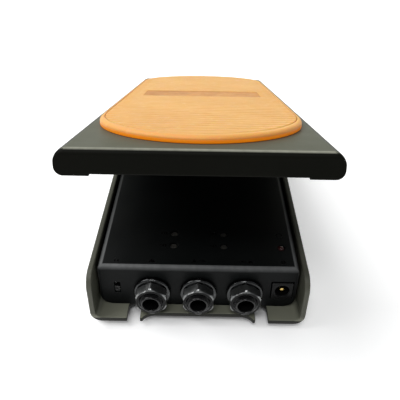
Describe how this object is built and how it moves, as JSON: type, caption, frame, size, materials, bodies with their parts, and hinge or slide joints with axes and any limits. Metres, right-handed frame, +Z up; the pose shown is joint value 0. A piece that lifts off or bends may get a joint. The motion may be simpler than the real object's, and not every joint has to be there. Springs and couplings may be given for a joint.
{
  "type": "volume pedal",
  "caption": "Slim floor volume pedal with a rocking steel treadle, amber ribbed rubber pad, folded steel base and a front control box with plug sockets.",
  "frame": {"origin": "on the floor, midway across the base and straight below the treadle's axle, which is also the middle of the overall length", "axes": "seen from in front of the toe end, where the sockets are: +X is to the right, +Y runs away towards the heel end, +Z is up; the treadle rests heel down"},
  "size_m": [0.1, 0.2478, 0.0904],
  "materials": {
    "olive_paint": "satin powder coat",
    "black_paint": "satin powder coat",
    "amber_pad": "moulded, satin, slightly translucent",
    "black_rubber": "matte",
    "zinc_steel": "zinc plated",
    "black_steel": "black nickel",
    "brass": "turned",
    "black_plastic": "moulded, satin gloss",
    "white_nylon": "natural nylon",
    "green_board": "solder resist",
    "blue_plastic": "moulded",
    "red_lens": "clear tinted, domed",
    "grey_cable": "ribbon cable"
  },
  "bodies": {
    "base": {"base_chassis": "olive_paint", "control_box": "black_paint", "rubber_foot_toe_left": "black_rubber", "rubber_foot_toe_right": "black_rubber", "rubber_foot_heel_left": "black_rubber", "rubber_foot_heel_right": "black_rubber", "box_screw_left": "zinc_steel", "box_screw_right": "zinc_steel", "switch_body": "zinc_steel", "pot_bracket": "zinc_steel", "pot_bracket_screw_toe": "zinc_steel", "pot_bracket_screw_heel": "zinc_steel", "pot_body": "zinc_steel", "axle_rod": "black_steel", "axle_cap": "black_steel", "jack_washer_left": "black_steel", "jack_washer_middle": "black_steel", "jack_washer_right": "black_steel", "jack_nut_left": "black_steel", "jack_nut_middle": "black_steel", "jack_nut_right": "black_steel", "power_pin": "brass", "pot_nut": "brass", "jack_socket_left": "black_plastic", "jack_socket_middle": "black_plastic", "jack_socket_right": "black_plastic", "power_socket": "black_plastic", "cable_clip": "black_plastic", "axle_spacer_left": "white_nylon", "axle_spacer_right": "white_nylon", "circuit_board": "green_board", "trimmer_body_toe_left": "blue_plastic", "trimmer_body_toe_right": "blue_plastic", "trimmer_body_heel_left": "blue_plastic", "trimmer_body_heel_right": "blue_plastic", "status_lamp": "red_lens", "pot_cable": "grey_cable"},
    "treadle": {"treadle_plate": "olive_paint", "treadle_pad": "amber_pad", "pivot_bracket": "zinc_steel", "plate_rivet_toe_left": "zinc_steel", "plate_rivet_toe_right": "zinc_steel", "plate_rivet_heel_left": "zinc_steel", "plate_rivet_heel_right": "zinc_steel", "pivot_bush_left": "brass", "pivot_bush_right": "brass", "sector_gear": "white_nylon", "gear_rivet_toe": "zinc_steel", "gear_rivet_heel": "zinc_steel", "bumper_toe_left": "black_rubber", "bumper_toe_right": "black_rubber", "bumper_heel_left": "black_rubber", "bumper_heel_right": "black_rubber"},
    "pot_rotor": {"pot_shaft": "zinc_steel", "drive_pinion": "white_nylon"},
    "switch_slider": {"switch_slider": "black_plastic"},
    "trimmer_toe_left": {"trimmer_rotor_toe_left": "white_nylon"},
    "trimmer_toe_right": {"trimmer_rotor_toe_right": "white_nylon"},
    "trimmer_heel_left": {"trimmer_rotor_heel_left": "white_nylon"},
    "trimmer_heel_right": {"trimmer_rotor_heel_right": "white_nylon"}
  },
  "joints": [
    {"name": "treadle_rock", "type": "hinge", "parent": "base", "child": "treadle", "pos_m": [0, 0, 0.038], "axis": [1, 0, 0], "range_deg": [0, 23.1]},
    {"name": "pot_turn", "type": "hinge", "parent": "base", "child": "pot_rotor", "pos_m": [0, 0.02, 0.01564], "axis": [1, 0, 0], "range_deg": [-94, 0]},
    {"name": "switch_slide", "type": "slide", "parent": "base", "child": "switch_slider", "axis": [0, 0, 1], "range_m": [0, 0.0024]},
    {"name": "trimmer_turn_toe_left", "type": "hinge", "parent": "base", "child": "trimmer_toe_left", "pos_m": [-0.0113, -0.0962, 0.027], "axis": [0, 0, 1], "range_deg": [-125, 125]},
    {"name": "trimmer_turn_toe_right", "type": "hinge", "parent": "base", "child": "trimmer_toe_right", "pos_m": [0.0113, -0.0962, 0.027], "axis": [0, 0, 1], "range_deg": [-125, 125]},
    {"name": "trimmer_turn_heel_left", "type": "hinge", "parent": "base", "child": "trimmer_heel_left", "pos_m": [-0.0113, -0.0882, 0.027], "axis": [0, 0, 1], "range_deg": [-125, 125]},
    {"name": "trimmer_turn_heel_right", "type": "hinge", "parent": "base", "child": "trimmer_heel_right", "pos_m": [0.0113, -0.0882, 0.027], "axis": [0, 0, 1], "range_deg": [-125, 125]}
  ],
  "couplings": [
    {"joint": "pot_turn", "follows": "treadle_rock", "ratio": -4}
  ]
}
